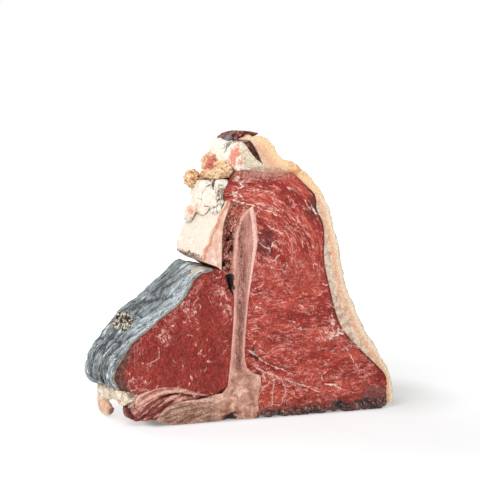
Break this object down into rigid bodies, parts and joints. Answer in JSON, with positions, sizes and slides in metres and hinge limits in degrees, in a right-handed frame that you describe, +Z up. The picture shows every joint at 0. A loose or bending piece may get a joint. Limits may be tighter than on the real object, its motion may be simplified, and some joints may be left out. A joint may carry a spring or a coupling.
{
  "type": "raw t-bone steak",
  "caption": "Thick dry-aged raw T-bone steak standing on its sawn backbone, with tenderloin, strip loin, outer fat and kidney fat.",
  "frame": {"origin": "on the ground under the middle of the whole steak", "axes": "+Z up, +X from the tenderloin to the loin, +Y through the thickness away from the cut face that shows"},
  "size_m": [0.2134, 0.05, 0.1982],
  "materials": {
    "t_bone": "moist sawn bone, pink-tan with a grey-brown porous core",
    "tenderloin": "moist fine-grained red meat with a blue-grey dried rind",
    "strip_loin": "moist red meat with thin pale marbling",
    "chain_muscle": "moist red meat between white sinews",
    "seam_meat": "dark torn meat beside the bone",
    "fat_cap": "firm cream to golden fat, waxy outside",
    "flank_meat": "dark dried meat",
    "kidney_fat_lower": "smooth pink and cream fat",
    "kidney_fat_middle": "dry crumbling white fat",
    "kidney_fat_upper": "yellow and orange dried fat",
    "cheek_fat": "cream fat with a tan dried nub",
    "fold_fat": "soft pink fat",
    "fold_meat": "folded pink and dark red membranes"
  },
  "bodies": {
    "root": {"t_bone": "t_bone", "tenderloin": "tenderloin", "strip_loin": "strip_loin", "chain_muscle": "chain_muscle", "seam_meat": "seam_meat", "fat_cap": "fat_cap", "flank_meat": "flank_meat", "kidney_fat_lower": "kidney_fat_lower", "kidney_fat_middle": "kidney_fat_middle", "kidney_fat_upper": "kidney_fat_upper", "cheek_fat": "cheek_fat", "fold_fat": "fold_fat", "fold_meat": "fold_meat"}
  },
  "joints": []
}
